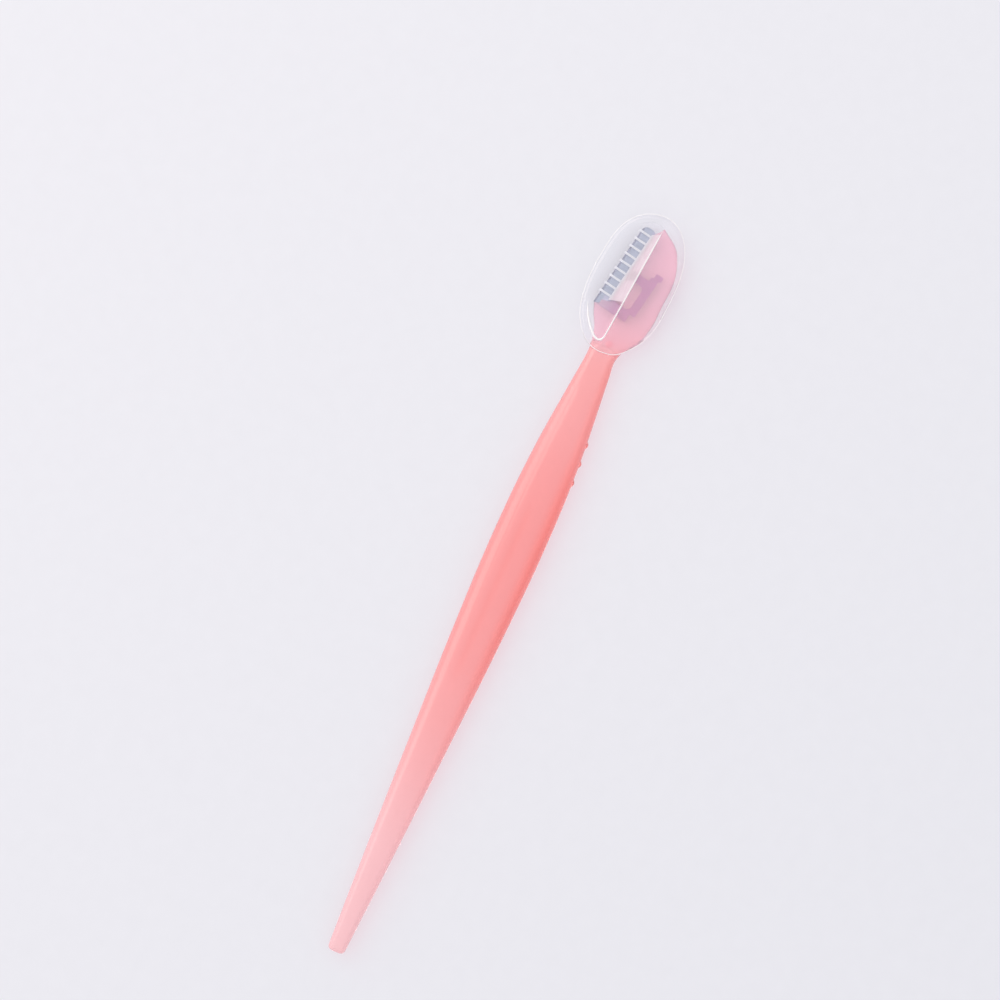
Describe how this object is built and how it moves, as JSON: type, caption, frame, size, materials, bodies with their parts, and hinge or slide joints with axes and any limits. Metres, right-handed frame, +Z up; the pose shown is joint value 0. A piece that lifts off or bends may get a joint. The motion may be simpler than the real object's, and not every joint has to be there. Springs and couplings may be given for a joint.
{
  "type": "eyebrow razor",
  "caption": "Slim translucent coral eyebrow razor with a leaf-shaped head, a comb-guarded steel blade moulded into one side, and a clear oval cap that pulls off along the handle.",
  "frame": {"origin": "middle of the flat under the handle's belly, on the surface the razor lies on and on the handle's long axis", "axes": "+X along the handle towards the head, +Y towards the cutting edge, +Z up out of the razor's front face"},
  "size_m": [0.1415, 0.0149, 0.0051],
  "materials": {
    "coral_plastic": "translucent coral polystyrene, moulded, glossy with a fine moulded haze",
    "blade_steel": "stamped stainless strip, ground cutting edge",
    "natural_plastic": "uncoloured, slightly milky moulded plastic",
    "clear_plastic": "clear moulded plastic with a faint cool haze"
  },
  "bodies": {
    "razor": {"handle": "coral_plastic", "blade": "blade_steel", "comb_guard": "natural_plastic"},
    "cap": {"cap": "clear_plastic"}
  },
  "joints": [
    {"name": "cap_pull", "type": "slide", "parent": "razor", "child": "cap", "axis": [1, 0, 0], "range_m": [0, 0.04]}
  ]
}
